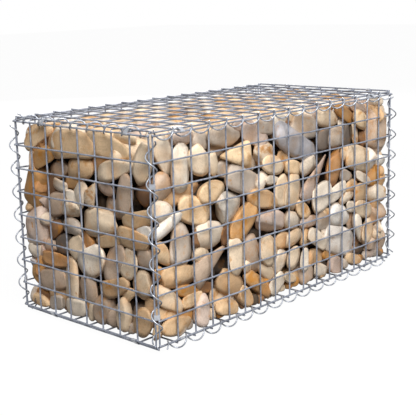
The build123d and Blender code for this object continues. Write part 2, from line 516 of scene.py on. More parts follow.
# %% [markdown]
# The stones in the photograph fall into a few kinds of rock. Each family has a
# range of two colours, a chance of rusty patches and a roughness. Cream and
# tan sandstone rule, with brown iron-stained ones, grey limestone, a few of
# blue grey and near white, and broken ones with a rusty crust.

# %% Families of stone
# family: darker colour, lighter colour, rust from 0 to 1, roughness of surface from 0 to 1
FAMILIES = {
    "white": ("D8D0C8", "E8E3DC", 0.0, 0.1),
    "pale": ("D0C2B0", "E0D5C6", 0.1, 0.1),
    "cream": ("CEB99E", "E0CDB4", 0.2, 0.1),
    "warm": ("CEB08C", "E0C6A2", 0.3, 0.1),
    "tan": ("B89874", "CCAE8A", 0.3, 0.15),
    "taupe": ("A48F7C", "BEA996", 0.2, 0.15),
    "mauve": ("AC988C", "C4B2A6", 0.25, 0.25),
    "ochre": ("A07A4C", "BA9264", 0.85, 0.2),
    "orange": ("AE8054", "C69A6C", 0.6, 0.25),
    "brown": ("6E5138", "8A6646", 0.4, 0.25),
    "grey": ("A29588", "BCAFA2", 0.1, 0.15),
    "dark": ("564C44", "70645A", 0.15, 0.2),
    # near black stones that are painted shade: they fill gaps and the heart so that these look dark
    "painted_shade": ("3C322A", "524334", 0.2, 0.2),
    "blue": ("9C9A9F", "B4B2B5", 0.0, 0.1),
    "rust": ("D0BEA6", "E0D2BE", 1.0, 0.9),
    "rough": ("B4ACA0", "CEC6BC", 0.1, 1.0),
}

# %% [markdown]
# The stones at the front are set out one by one, as a waller sets his face stones.
# A stone is written as its place in cells from the top left of the face, half
# its length and half its height in cells, the tilt of its length in degrees,
# its family, its shape and how many cells it lies behind the mesh. The near
# black ones lie well back and are painted shade, there only to keep the gaps dark.

# %% Face stones of the long front
FRONT_STONES = (
    (0.62, 0.74, 0.86, 0.50, -58, "pale", "block", 0.35),
    (1.60, 0.28, 0.62, 0.32, 0, "mauve", "oval", 0.4),
    (1.45, 1.40, 0.94, 0.50, 86, "pale", "block", 0.0),
    (2.52, 0.55, 0.56, 0.42, 0, "grey", "oval", 0.6),
    (2.50, 1.30, 0.72, 0.56, -40, "cream", "egg", 0.1),
    (3.24, 1.52, 0.54, 0.34, -75, "cream", "potato", 0.25),
    (3.45, 0.95, 0.50, 0.42, -20, "taupe", "oval", 0.8),
    (3.95, 0.45, 1.02, 0.48, -6, "grey", "potato", 0.3),
    (4.66, 1.36, 0.97, 0.60, 176, "warm", "triangle", 0.0),
    (5.10, 0.20, 0.70, 0.28, 0, "mauve", "oval", 0.5),
    (5.85, 0.72, 0.98, 0.42, -24, "mauve", "slab", 0.35),
    (6.50, 0.40, 0.62, 0.44, -10, "grey", "block", 0.3),
    (7.55, 0.30, 0.80, 0.32, -4, "pale", "oval", 0.5),
    (8.50, 1.42, 1.78, 0.60, -27, "blue", "oval", 0.05),
    (6.38, 1.55, 0.74, 0.60, -12, "rust", "broken", 0.1),
    (5.72, 1.78, 0.34, 0.28, 30, "rough", "broken", 0.5),
    (6.98, 2.10, 0.78, 0.42, -22, "cream", "oval", 0.1),
    (7.78, 2.05, 0.64, 0.38, -40, "tan", "oval", 0.45),
    (0.45, 1.90, 0.58, 0.54, 0, "taupe", "potato", 0.1),
    (1.38, 2.36, 1.08, 0.42, 8, "tan", "oval", 0.4),
    (3.12, 2.62, 0.80, 0.50, 0, "warm", "oval", 0.0),
    (4.35, 1.92, 1.05, 0.42, -20, "grey", "oval", 0.4),
    (4.98, 2.42, 1.08, 0.54, -24, "grey", "block", 0.1),
    (6.20, 2.66, 0.44, 0.38, 50, "pale", "oval", 0.1),
    (6.96, 2.74, 0.50, 0.22, -9, "pale", "wedge", 0.15),
    (7.52, 3.30, 0.72, 0.46, 85, "cream", "oval", 0.2),
    (8.30, 3.48, 0.90, 0.60, 82, "cream", "oval", 0.0),
    (0.35, 2.86, 0.62, 0.40, -26, "pale", "oval", 0.05),
    (0.82, 3.38, 1.06, 0.32, 20, "white", "wedge", 0.0),
    (2.13, 3.16, 0.96, 0.55, -22, "warm", "oval", 0.1),
    (1.55, 3.70, 0.55, 0.30, -10, "painted_shade", "oval", 0.9),
    (4.12, 3.34, 0.76, 0.68, 20, "rough", "broken", 0.0),
    (3.30, 3.45, 0.40, 0.40, 0, "brown", "round", 1.0),
    (5.06, 3.16, 0.34, 0.34, 0, "brown", "round", 0.6),
    (6.42, 3.50, 1.16, 0.45, -15, "tan", "egg", 0.0),
    (5.62, 3.15, 0.50, 0.30, -20, "brown", "oval", 0.7),
    (5.02, 4.18, 0.98, 0.64, 38, "ochre", "oval", 0.0),
    (1.30, 4.32, 0.90, 0.64, 88, "grey", "egg", 0.0),
    (2.95, 4.26, 0.92, 0.62, -4, "pale", "egg", 0.0),
    (2.25, 4.28, 0.44, 0.28, 80, "brown", "broken", 0.05),
    (3.88, 4.52, 0.46, 0.26, 88, "brown", "oval", 0.3),
    (0.34, 4.50, 0.62, 0.36, -48, "warm", "egg", 0.0),
    (0.12, 5.20, 0.34, 0.28, -30, "ochre", "round", 0.15),
    (2.40, 4.98, 0.50, 0.36, -28, "cream", "oval", 0.15),
    (6.90, 4.42, 1.12, 0.54, -16, "mauve", "broken", 0.1),
    (5.72, 4.78, 0.60, 0.40, 10, "painted_shade", "oval", 0.7),
    (7.85, 4.95, 0.55, 0.30, 10, "brown", "oval", 0.7),
    (1.08, 5.50, 1.00, 0.47, -9, "tan", "oval", 0.0),
    (2.95, 5.42, 1.12, 0.58, 27, "taupe", "triangle", 0.1),
    (3.85, 5.95, 0.40, 0.30, 0, "painted_shade", "oval", 1.0),
    (4.54, 5.50, 0.88, 0.50, -80, "cream", "oval", 0.0),
    (5.20, 6.10, 0.30, 0.28, -20, "pale", "round", 0.1),
    (5.56, 5.62, 0.92, 0.50, -64, "taupe", "oval", 0.15),
    (6.60, 5.78, 0.80, 0.60, -58, "cream", "oval", 0.0),
    (7.60, 5.50, 0.66, 0.38, -6, "tan", "oval", 0.3),
    (7.32, 6.32, 0.60, 0.50, 30, "pale", "oval", 0.15),
    (4.05, 6.50, 0.92, 0.52, -28, "tan", "oval", 0.0),
    (0.58, 6.36, 0.94, 0.40, -38, "cream", "oval", 0.0),
    (0.35, 6.82, 0.66, 0.28, -20, "warm", "oval", 0.25),
    (1.60, 6.25, 0.70, 0.28, -16, "ochre", "oval", 0.25),
    (2.66, 6.38, 0.50, 0.26, -8, "brown", "oval", 0.5),
    (1.88, 6.68, 0.62, 0.30, 4, "warm", "oval", 0.2),
    (2.38, 7.40, 0.68, 0.50, 72, "mauve", "egg", 0.0),
    (3.35, 6.98, 0.58, 0.42, -12, "cream", "slab", 0.3),
    (3.93, 7.68, 0.87, 0.36, -10, "tan", "oval", 0.0),
    (5.00, 7.54, 0.78, 0.42, -34, "tan", "oval", 0.1),
    (5.88, 7.00, 1.12, 0.36, -38, "ochre", "oval", 0.0),
    (6.48, 6.58, 0.68, 0.36, -38, "cream", "oval", 0.2),
    (7.18, 7.34, 0.58, 0.42, 28, "pale", "block", 0.1),
    (6.08, 7.78, 0.42, 0.24, -30, "mauve", "oval", 0.3),
    (6.70, 7.78, 0.40, 0.20, -10, "painted_shade", "oval", 0.6),
    (0.95, 7.56, 0.84, 0.40, -3, "tan", "oval", 0.05),
    (-0.02, 7.46, 0.30, 0.30, 0, "warm", "round", 0.2),
    (7.75, 7.63, 0.45, 0.28, 0, "taupe", "oval", 0.7),
    (8.02, 0.50, 0.34, 0.30, -30, "brown", "round", 0.5),
    (8.48, 0.30, 0.62, 0.28, -14, "cream", "oval", 0.45),
    (9.18, 0.78, 1.10, 0.55, -12, "grey", "block", 0.3),
    (10.85, 0.58, 0.88, 0.44, -12, "cream", "egg", 0.25),
    (10.95, 0.14, 0.48, 0.18, 0, "ochre", "oval", 0.5),
    (12.35, 0.56, 1.00, 0.32, -28, "ochre", "oval", 0.3),
    (13.25, 0.35, 0.80, 0.34, -22, "mauve", "oval", 0.4),
    (13.52, 0.95, 0.74, 0.40, -28, "warm", "oval", 0.1),
    (12.10, 0.95, 0.50, 0.25, -10, "pale", "oval", 0.6),
    (14.50, 0.62, 0.62, 0.56, 0, "mauve", "block", 0.3),
    (10.62, 1.52, 0.58, 0.50, 0, "dark", "block", 0.1),
    (11.48, 1.54, 0.66, 0.50, 0, "grey", "oval", 0.0),
    (10.05, 1.65, 0.40, 0.40, 0, "painted_shade", "round", 1.0),
    (12.45, 1.58, 0.48, 0.54, -20, "dark", "broken", 0.2),
    (13.00, 1.55, 0.58, 0.34, -70, "rust", "broken", 0.15),
    (13.72, 1.86, 0.56, 0.50, 0, "brown", "potato", 0.4),
    (14.86, 1.48, 1.00, 0.82, 80, "taupe", "oval", 0.0),
    (15.50, 2.18, 0.52, 0.42, 0, "pale", "oval", 0.2),
    (8.38, 2.42, 0.62, 0.32, -16, "warm", "oval", 0.1),
    (9.40, 2.52, 0.62, 0.38, 16, "pale", "oval", 0.1),
    (9.30, 2.10, 0.45, 0.30, -25, "grey", "oval", 0.5),
    (9.95, 3.10, 1.25, 0.50, 48, "mauve", "triangle", 0.0),
    (8.80, 3.00, 0.40, 0.40, 0, "painted_shade", "round", 1.0),
    (11.35, 2.92, 0.86, 0.60, 70, "orange", "oval", 0.0),
    (11.95, 2.20, 0.40, 0.32, 0, "tan", "round", 0.6),
    (12.40, 2.40, 0.60, 0.40, -20, "cream", "oval", 0.2),
    (13.45, 2.80, 1.32, 0.62, -16, "cream", "block", 0.0),
    (14.78, 2.62, 0.62, 0.46, -15, "dark", "oval", 0.4),
    (15.55, 2.78, 0.44, 0.30, -10, "rust", "potato", 0.2),
    (12.36, 3.42, 0.52, 0.30, -15, "grey", "egg", 0.1),
    (12.10, 3.10, 0.50, 0.30, 0, "painted_shade", "oval", 0.9),
    (13.80, 3.76, 0.80, 0.24, -28, "pale", "slab", 0.1),
    (15.05, 3.72, 0.92, 0.56, -4, "ochre", "block", 0.05),
    (10.45, 4.06, 0.82, 0.70, 15, "pale", "oval", 0.0),
    (11.68, 4.06, 0.74, 0.38, 16, "pale", "oval", 0.1),
    (11.10, 3.60, 0.45, 0.35, 0, "painted_shade", "oval", 0.9),
    (12.78, 3.96, 0.56, 0.34, -5, "tan", "oval", 0.2),
    (12.40, 4.44, 0.64, 0.28, 10, "rust", "oval", 0.1),
    (13.56, 4.40, 0.60, 0.48, 0, "tan", "block", 0.05),
    (14.80, 4.62, 0.82, 0.46, -18, "pale", "oval", 0.0),
    (9.05, 4.42, 0.64, 0.36, -36, "warm", "oval", 0.05),
    (8.30, 4.74, 0.62, 0.43, -15, "pale", "oval", 0.1),
    (9.45, 5.02, 0.64, 0.30, -4, "mauve", "oval", 0.2),
    (9.60, 4.45, 0.40, 0.30, 0, "painted_shade", "round", 0.9),
    (10.55, 5.20, 0.58, 0.50, 0, "grey", "block", 0.15),
    (10.75, 4.85, 0.55, 0.22, -12, "warm", "oval", 0.2),
    (11.80, 5.14, 0.90, 0.54, -16, "white", "egg", 0.0),
    (12.85, 5.50, 0.72, 0.54, -60, "taupe", "oval", 0.4),
    (12.95, 5.00, 0.60, 0.28, -15, "pale", "slab", 0.15),
    (13.85, 5.28, 0.82, 0.42, -24, "cream", "oval", 0.1),
    (14.95, 5.38, 0.80, 0.32, 5, "taupe", "oval", 0.35),
    (13.42, 6.08, 0.86, 0.40, -74, "pale", "wedge", 0.05),
    (14.32, 6.42, 0.70, 0.58, 72, "cream", "oval", 0.0),
    (15.25, 6.22, 0.68, 0.56, 78, "pale", "oval", 0.1),
    (11.75, 6.40, 1.32, 0.70, -20, "white", "block", 0.0),
    (10.12, 5.95, 0.82, 0.36, -36, "pale", "oval", 0.05),
    (10.85, 5.70, 0.45, 0.26, -20, "pale", "oval", 0.3),
    (9.28, 5.72, 0.54, 0.50, 0, "warm", "potato", 0.2),
    (8.35, 5.50, 0.66, 0.36, 12, "cream", "oval", 0.1),
    (8.36, 6.40, 0.56, 0.44, 62, "cream", "oval", 0.0),
    (9.15, 6.76, 0.58, 0.34, 88, "pale", "oval", 0.1),
    (9.98, 6.74, 0.60, 0.42, -6, "tan", "block", 0.2),
    (11.12, 6.92, 0.74, 0.30, -17, "ochre", "oval", 0.25),
    (11.50, 7.60, 0.74, 0.40, -10, "mauve", "oval", 0.05),
    (10.32, 7.56, 0.56, 0.34, -22, "pale", "oval", 0.15),
    (9.20, 7.63, 0.66, 0.42, 10, "taupe", "block", 0.2),
    (8.12, 7.30, 0.48, 0.24, -28, "cream", "egg", 0.15),
    (8.65, 7.78, 0.40, 0.26, 0, "painted_shade", "oval", 0.7),
    (13.00, 7.66, 0.90, 0.27, -15, "warm", "egg", 0.1),
    (13.30, 6.72, 0.50, 0.38, -30, "brown", "oval", 0.5),
    (13.75, 7.38, 0.50, 0.35, 0, "painted_shade", "oval", 0.7),
    (14.55, 7.60, 0.74, 0.46, 10, "mauve", "potato", 0.2),
    (12.40, 7.78, 0.40, 0.20, 0, "painted_shade", "oval", 0.7),
)

# %% Face stones of the left end
# As on the front, the near black stones lie well back and are painted shade in the gaps.
LEFT_STONES = (
    (1.62, 0.50, 1.18, 0.38, 22, "warm", "oval", 0.05),
    (2.45, 0.12, 0.55, 0.18, 8, "ochre", "oval", 0.4),
    (3.62, 0.68, 1.56, 0.62, 3, "warm", "oval", 0.0),
    (5.70, 0.62, 1.45, 0.52, -8, "warm", "egg", 0.1),
    (5.20, 1.25, 0.75, 0.34, 22, "orange", "oval", 0.3),
    (6.65, 0.18, 0.66, 0.24, 0, "cream", "oval", 0.4),
    (7.62, 1.05, 0.86, 0.50, 66, "cream", "oval", 0.05),
    (1.60, 1.35, 0.94, 0.42, 22, "ochre", "oval", 0.1),
    (6.05, 1.42, 1.10, 0.42, 17, "cream", "egg", 0.0),
    (4.10, 1.62, 0.88, 0.46, 10, "tan", "oval", 0.05),
    (2.75, 1.76, 0.64, 0.40, 20, "taupe", "oval", 0.3),
    (2.15, 1.60, 0.60, 0.45, 0, "painted_shade", "round", 0.8),
    (1.30, 2.60, 1.00, 0.66, 62, "ochre", "block", 0.0),
    (2.20, 2.55, 0.62, 0.44, 70, "brown", "oval", 0.5),
    (2.72, 2.46, 0.48, 0.26, -8, "pale", "oval", 0.1),
    (3.58, 2.22, 0.60, 0.30, 4, "ochre", "block", 0.3),
    (3.92, 2.68, 0.62, 0.42, 55, "pale", "block", 0.15),
    (4.62, 2.55, 0.62, 0.44, 55, "rust", "triangle", 0.1),
    (3.38, 2.82, 0.46, 0.28, -5, "pale", "oval", 0.2),
    (5.55, 2.20, 0.52, 0.30, -12, "mauve", "oval", 0.3),
    (5.20, 2.80, 0.40, 0.36, 0, "painted_shade", "round", 0.9),
    (6.55, 2.38, 0.94, 0.46, 80, "taupe", "oval", 0.0),
    (7.15, 2.60, 0.50, 0.40, 60, "painted_shade", "oval", 0.9),
    (7.64, 2.12, 0.60, 0.44, 60, "brown", "oval", 0.15),
    (2.42, 3.25, 0.66, 0.50, 20, "taupe", "oval", 0.2),
    (3.26, 3.32, 0.70, 0.36, -6, "rust", "broken", 0.05),
    (5.04, 3.62, 1.02, 0.62, 12, "cream", "oval", 0.0),
    (6.00, 2.98, 0.54, 0.44, -10, "taupe", "oval", 0.4),
    (7.28, 3.20, 0.94, 0.34, 14, "warm", "oval", 0.05),
    (7.55, 3.62, 0.56, 0.30, 6, "white", "oval", 0.1),
    (6.88, 4.02, 0.88, 0.43, -4, "tan", "oval", 0.0),
    (1.28, 4.22, 0.74, 0.58, 84, "orange", "oval", 0.0),
    (2.20, 4.30, 0.56, 0.42, 30, "brown", "oval", 0.3),
    (3.36, 4.05, 0.66, 0.38, -4, "grey", "oval", 0.05),
    (4.30, 4.50, 0.46, 0.38, 0, "orange", "potato", 0.2),
    (5.48, 4.30, 0.72, 0.27, 12, "tan", "oval", 0.15),
    (2.80, 4.92, 0.72, 0.50, 15, "dark", "oval", 0.3),
    (0.62, 4.72, 0.54, 0.44, 0, "grey", "oval", 0.1),
    (3.52, 4.90, 0.56, 0.46, 35, "cream", "oval", 0.1),
    (4.50, 5.32, 0.94, 0.66, 30, "pale", "oval", 0.0),
    (5.76, 5.15, 0.96, 0.45, 66, "taupe", "oval", 0.05),
    (6.63, 5.04, 0.68, 0.46, 64, "cream", "oval", 0.05),
    (7.60, 4.66, 0.58, 0.42, 0, "taupe", "oval", 0.05),
    (7.36, 5.72, 0.62, 0.54, 50, "cream", "oval", 0.0),
    (2.05, 5.66, 0.94, 0.33, 2, "orange", "oval", 0.05),
    (1.85, 5.06, 0.58, 0.30, 5, "taupe", "oval", 0.35),
    (0.85, 5.45, 0.60, 0.36, 30, "mauve", "oval", 0.3),
    (0.66, 6.18, 0.80, 0.52, 62, "ochre", "potato", 0.1),
    (1.42, 6.15, 0.50, 0.24, 30, "taupe", "oval", 0.4),
    (3.15, 6.30, 0.98, 0.46, 85, "cream", "block", 0.05),
    (1.84, 6.56, 1.06, 0.52, 15, "taupe", "block", 0.05),
    (4.20, 6.56, 0.64, 0.58, 0, "taupe", "block", 0.1),
    (5.76, 6.16, 0.92, 0.38, 20, "tan", "oval", 0.0),
    (6.68, 6.16, 0.56, 0.36, 18, "warm", "triangle", 0.15),
    (5.08, 7.38, 0.78, 0.60, 48, "taupe", "oval", 0.05),
    (6.22, 7.30, 0.74, 0.43, 85, "cream", "oval", 0.0),
    (7.26, 7.20, 0.68, 0.50, 58, "tan", "oval", 0.0),
    (6.90, 6.68, 0.40, 0.30, 0, "painted_shade", "oval", 0.8),
    (7.80, 6.50, 0.40, 0.32, -20, "warm", "oval", 0.3),
    (3.35, 7.64, 0.84, 0.40, 2, "pale", "block", 0.05),
    (2.12, 7.70, 0.56, 0.34, 8, "grey", "oval", 0.15),
    (0.78, 7.76, 0.86, 0.26, -3, "warm", "oval", 0.05),
    (1.35, 7.38, 0.56, 0.28, 0, "brown", "oval", 0.3),
    (0.50, 7.28, 0.46, 0.30, 0, "brown", "block", 0.2),
    (4.30, 7.70, 0.46, 0.24, 70, "cream", "oval", 0.2),
    (4.08, 7.24, 0.54, 0.22, -6, "ochre", "oval", 0.3),
    (5.65, 6.75, 0.45, 0.30, 0, "painted_shade", "oval", 0.8),
)
print("face stones", len(FRONT_STONES), len(LEFT_STONES))

# %% [markdown]
# A stone seen through the mesh lies behind it, so its middle is slid back
# along the line of sight until the stone just clears the wires, and its
# thickness runs along that line too. From the camera it then shows just the
# outline that was set out, whatever its depth. The price is a stone that is
# sheared, and looks slanted from other sides. A stone that would leave the
# cage near a corner is turned square to its face and pushed back inside. The
# hidden faces repeat the arrangement mirrored, as seen from the opposite
# corner, with other shapes and colours.

# %% Placing stones on a face
WIRE_CLEAR = 1.2 * MM
THICK_SHARE = 0.75
THICK_BASE = 0.08
SNUG = 1.05
FOOT_ROW = 0.35
FOOT_THIN = 0.55
SQUARE_WIDTH = 0.75
MOST_PUSH = 0.12
SPIRAL_DROP = 0.25
SPIRAL_SETBACK = 0.22

inner = PANEL_GAP - WIRE_R - WIRE_CLEAR
ROOM_LOW = np.array(BLOCK_LOW) - inner
ROOM_HIGH = np.array(BLOCK_HIGH) + inner


class Face:
    """A side of the block: its top left corner seen from outside, and its directions."""

    def __init__(self, corner, across, down, inward, eye):
        self.corner = np.array(corner, float)
        self.across = np.array(across, float)
        self.down = np.array(down, float)
        self.inward = np.array(inward, float)
        self.eye = np.array(eye, float)


eye = np.array(CAMERA_AT)
far_eye = np.array((-eye[0], -eye[1], eye[2]))
high_eye = np.array((MIDDLE.x, MIDDLE.y - 0.6, BLOCK_HIGH.z + 3.0))
low_eye = np.array((MIDDLE.x, MIDDLE.y, BLOCK_LOW.z - 3.0))
x0, y0, z0 = BLOCK_LOW
x1, y1, z1 = BLOCK_HIGH
FACES = {
    "front": Face((x0, y0 - inner, z1), (1, 0, 0), (0, 0, -1), (0, 1, 0), eye),
    "left_end": Face((x0 - inner, y1, z1), (0, -1, 0), (0, 0, -1), (1, 0, 0), eye),
    "back": Face((x1, y1 + inner, z1), (-1, 0, 0), (0, 0, -1), (0, -1, 0), far_eye),
    "right_end": Face((x1 + inner, y0, z1), (0, 1, 0), (0, 0, -1), (-1, 0, 0), far_eye),
    "lid": Face((x0, y1, z1 + inner), (1, 0, 0), (0, -1, 0), (0, 0, -1), high_eye),
    "base": Face((x0, y0, z0 - inner), (1, 0, 0), (0, 1, 0), (0, 0, 1), low_eye),
}


class Stone:
    """One pebble: its middle, the matrix that shapes it, its kind and its family."""

    def __init__(self, middle, shape, kind, family):
        self.middle = middle
        self.shape = shape
        self.kind = kind
        self.family = family

    def pushed_inside(self):
        """Move the stone into the cage, and say how far it had to go."""
        half = np.linalg.norm(self.shape, axis=1)
        middle = np.clip(self.middle, ROOM_LOW + half, ROOM_HIGH - half)
        push = np.linalg.norm(middle - self.middle)
        self.middle = middle
        return push


def stone_on(face, u, v, half_long, half_high, tilt, family, kind, behind):
    turn = radians(tilt)
    seat = face.corner + face.across * u * MESH + face.down * v * MESH
    sight = seat - face.eye
    sight /= sight @ face.inward
    long_axis = (cos(turn) * face.across - sin(turn) * face.down) * half_long * SNUG * MESH
    high_axis = (sin(turn) * face.across + cos(turn) * face.down) * half_high * SNUG * MESH
    thick = (THICK_SHARE * min(half_high, half_long) + THICK_BASE) * MESH
    if face.down[2] < 0 and v + half_high > CELLS_HIGH - FOOT_ROW:
        thick *= FOOT_THIN
    reach = thick + behind * MESH
    shape = np.column_stack([long_axis, high_axis, sight * thick])
    stone = Stone(seat + sight * reach, shape, kind, family)
    if stone.pushed_inside() > MOST_PUSH * MESH:
        squeeze = np.eye(3) - (1 - SQUARE_WIDTH) * np.outer(face.across, face.across)
        shape = np.column_stack([squeeze @ long_axis, squeeze @ high_axis, face.inward * thick])
        stone = Stone(seat + sight * reach, shape, kind, family)
        stone.pushed_inside()
    return stone


def face_stones(face_name, table, mirrored=False, shuffle=None):
    """The stones of a table on a face, set back a little where a top spiral hangs in front."""
    face = FACES[face_name]
    cells = CELLS_LONG if face_name in ("front", "back") else CELLS_WIDE
    stones = []
    for u, v, half_long, half_high, tilt, family, kind, behind in table:
        top = v - np.hypot(half_long * sin(radians(tilt)), half_high * cos(radians(tilt)))
        if top < SPIRAL_DROP and cells == CELLS_LONG:
            behind = max(behind, SPIRAL_SETBACK)
        if mirrored:
            u, tilt = cells - u, -tilt
        if shuffle is not None:
            family = shuffle.choice(SHUFFLE_FROM)
            kind = shuffle.choice(SHUFFLE_KINDS)
        stones.append(stone_on(face, u, v, half_long, half_high, tilt, family, kind, behind))
    return stones


SHUFFLE_FROM = ["pale", "cream", "cream", "warm", "tan", "tan", "taupe", "taupe", "mauve",
                "ochre", "orange", "brown", "grey", "grey", "white", "blue"]
SHUFFLE_KINDS = ["oval", "oval", "oval", "egg", "round", "block", "slab", "potato", "triangle"]
shuffle = np.random.default_rng(5)
CORNER_FREE = 0.5


def clear_of_corner(table):
    """Hidden faces leave out the stones beside the corners that the photograph shows."""
    return [row for row in table if row[0] > CORNER_FREE]


piles = {
    "front": face_stones("front", FRONT_STONES),
    "left_end": face_stones("left_end", LEFT_STONES),
    "back": face_stones("back", clear_of_corner(FRONT_STONES), True, shuffle),
    "right_end": face_stones("right_end", clear_of_corner(LEFT_STONES), True, shuffle),
}

# %% [markdown]
# The lid and the base show the stones lying flat. They are scattered on a
# loose grid, kept a little in from the edges, where the face stones already
# stand. Lid stones are mostly pale, with a few brown ones. Small pebbles are
# set along the foot of each side, where the lowest face stones leave a gap.

# %% Stones under the lid and on the base
# The near black family among these is painted shade at the foot of the wall.
BASE_FROM = ["dark", "brown", "taupe", "tan", "ochre", "cream", "grey", "painted_shade"]
LID_FROM = ["pale", "pale", "pale", "white", "cream", "cream",
            "warm", "warm", "tan", "taupe", "mauve", "ochre"]
TOE_EDGE = 0.5
TOE_STEP = 0.62
TOE_FACES = (("front", CELLS_LONG), ("left_end", CELLS_WIDE),
             ("back", CELLS_LONG), ("right_end", CELLS_WIDE))


def scattered(face_name, families, seed, edge=0.75, step=1.12):
    face = FACES[face_name]
    pick = np.random.default_rng(seed)
    stones = []
    rows = int((CELLS_WIDE - 2 * edge) / (step * 0.8)) + 1
    columns = int((CELLS_LONG - 2 * edge) / step) + 1
    for row in range(rows):
        for column in range(columns):
            u = edge + (column + 0.5 * (row % 2)) * step + pick.normal(0, 0.1)
            v = edge + row * step * 0.8 + pick.normal(0, 0.08)
            if u > CELLS_LONG - edge or v > CELLS_WIDE - edge:
                continue
            half_long = pick.uniform(0.62, 0.92)
            half_high = pick.uniform(0.42, 0.6)
            tilt = pick.uniform(-50, 50)
            family = pick.choice(families)
            kind = pick.choice(["oval", "oval", "egg", "round", "slab", "potato"])
            behind = abs(pick.normal(0, 0.15))
            stones.append(stone_on(face, u, v, half_long, half_high, tilt, family, kind, behind))
    return stones


def toe_stones(face_name, cells, seed):
    """Small pebbles that have settled along the foot of a side."""
    pick = np.random.default_rng(seed)
    stones = []
    for column in range(int((cells - 2 * TOE_EDGE) / TOE_STEP) + 1):
        u = TOE_EDGE + column * TOE_STEP + pick.normal(0, 0.06)
        half_long = pick.uniform(0.3, 0.42)
        half_high = pick.uniform(0.18, 0.26)
        tilt = pick.uniform(-15, 15)
        kind = pick.choice(["oval", "egg", "slab"])
        stones.append(stone_on(FACES[face_name], u, CELLS_HIGH - half_high, half_long, half_high, tilt,
                               pick.choice(BASE_FROM), kind, pick.uniform(0.15, 0.4)))
    return stones


piles["lid"] = scattered("lid", LID_FROM, 31, edge=0.95)
piles["base"] = scattered("base", BASE_FROM, 32, edge=1.0)
for seed, (face_name, cells) in enumerate(TOE_FACES):
    piles["base"] += toe_stones(face_name, cells, seed)

# %% [markdown]
# Behind the face stones lie the rest, seen only in the gaps. They are coarse
# stones on a loose grid, coloured darker than real ones as painted shade, so
# that the gaps look dark.

# %% Stones in the heart of the wall
HEART_STEP = 1.15
HEART_EDGE = 1.5
# Only the darkest families, so that the heart is painted shade.
HEART_SHADE_FAMILIES = ["painted_shade", "painted_shade", "brown", "dark"]


def heart_stones(seed):
    pick = np.random.default_rng(seed)
    stones = []
    spans = (CELLS_LONG, CELLS_WIDE, CELLS_HIGH)
    counts = [int((span - 2 * HEART_EDGE) / HEART_STEP) + 1 for span in spans]
    for i in range(counts[0]):
        for j in range(counts[1]):
            for k in range(counts[2]):
                steps = np.array((i, j, k), float)
                starts = np.array([(s - (c - 1) * HEART_STEP) / 2 for s, c in zip(spans, counts)])
                cell = starts + steps * HEART_STEP + pick.normal(0, 0.12, 3)
                middle = np.array(BLOCK_LOW) + cell * MESH
                sizes = pick.uniform((0.7, 0.58, 0.5), (0.92, 0.76, 0.66)) * MESH
                turn = np.linalg.qr(pick.normal(size=(3, 3)))[0]
                turn[:, 0] *= np.sign(np.linalg.det(turn))
                kind = pick.choice(["round", "oval", "egg", "potato", "block"])
                stones.append(Stone(middle, turn * sizes, kind, pick.choice(HEART_SHADE_FAMILIES)))
    return stones


piles["heart"] = heart_stones(77)
print("stones", {name: len(stones) for name, stones in piles.items()})

# %% [markdown]
# Every stone becomes part of one mesh for its side of the wall. Its colour
# and its own coordinates go with it as attributes, so that one material can
# paint each stone as a separate piece of rock.

# %% Build the piles
UNIQUE_BEND = 0.035
OVAL_KINDS = ["oval", "bread", "cobble"]


def pile_mesh(name, stones, shapes, material, seed):
    pick = np.random.default_rng(seed)
    points, faces, tints, owns, looks = [], [], [], [], []
    start = 0
    for stone in stones:
        kind = pick.choice(OVAL_KINDS) if stone.kind == "oval" else stone.kind
        unit, quads = shapes[kind]
        unit = unit.copy()
        flip = np.array((1, pick.choice((-1, 1)), pick.choice((-1, 1))))
        unit = unit * flip
        if flip.prod() < 0:
            quads = quads[:, ::-1]
        wave = pick.normal(size=(3, 3)) * 1.6
        phase = pick.uniform(0, 6.28, 3)
        unit = unit * (1 + UNIQUE_BEND * np.sin(unit @ wave + phase).sum(1, keepdims=True))
        unit = unit / np.abs(unit).max(0)
        if np.linalg.det(stone.shape) < 0:
            quads = quads[:, ::-1]
        placed = unit @ stone.shape.T + stone.middle
        dark, light, rust, rough = FAMILIES[stone.family]
        share = pick.uniform(0, 1)
        tint = np.array(linear(dark)) * (1 - share) + np.array(linear(light)) * share
        tint[:3] *= pick.uniform(0.94, 1.06)
        size = np.linalg.norm(stone.shape, axis=0)
        points.append(placed)
        faces.append(quads + start)
        tints.append(np.tile(tint, (len(unit), 1)))
        owns.append(unit * size + pick.uniform(-9, 9, 3))
        looks.append(np.tile((rust, rough, pick.uniform(0, 1)), (len(unit), 1)))
        start += len(unit)
    points = np.concatenate(points)
    faces = np.concatenate(faces)
    mesh = bpy.data.meshes.new(name)
    mesh.vertices.add(len(points))
    mesh.vertices.foreach_set("co", points.ravel())
    mesh.loops.add(faces.size)
    mesh.loops.foreach_set("vertex_index", faces.ravel())
    mesh.polygons.add(len(faces))
    mesh.polygons.foreach_set("loop_start", np.arange(len(faces)) * 4)
    mesh.polygons.foreach_set("use_smooth", np.full(len(faces), True))
    mesh.update(calc_edges=True)
    tint_layer = mesh.attributes.new("tint", "FLOAT_COLOR", "POINT")
    tint_layer.data.foreach_set("color", np.concatenate(tints).ravel())
    for layer_name, values in (("own", owns), ("look", looks)):
        layer = mesh.attributes.new(layer_name, "FLOAT_VECTOR", "POINT")
        layer.data.foreach_set("vector", np.concatenate(values).ravel())
    mesh.materials.append(material)
    pile = bpy.data.objects.new(name, mesh)
    bpy.context.scene.collection.objects.link(pile)
    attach(pile, "root")
    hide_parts("stone_fill")
    return pile


# %% [markdown]
# River stone is matt and finely grained. Colour drifts across a stone in soft
# clouds a few centimetres wide, with a speckle of mineral grain, thin darker
# veins, and iron stains on the families that have them. All of it reads the
# stone's own coordinates, so no pattern runs on from one stone to the next.

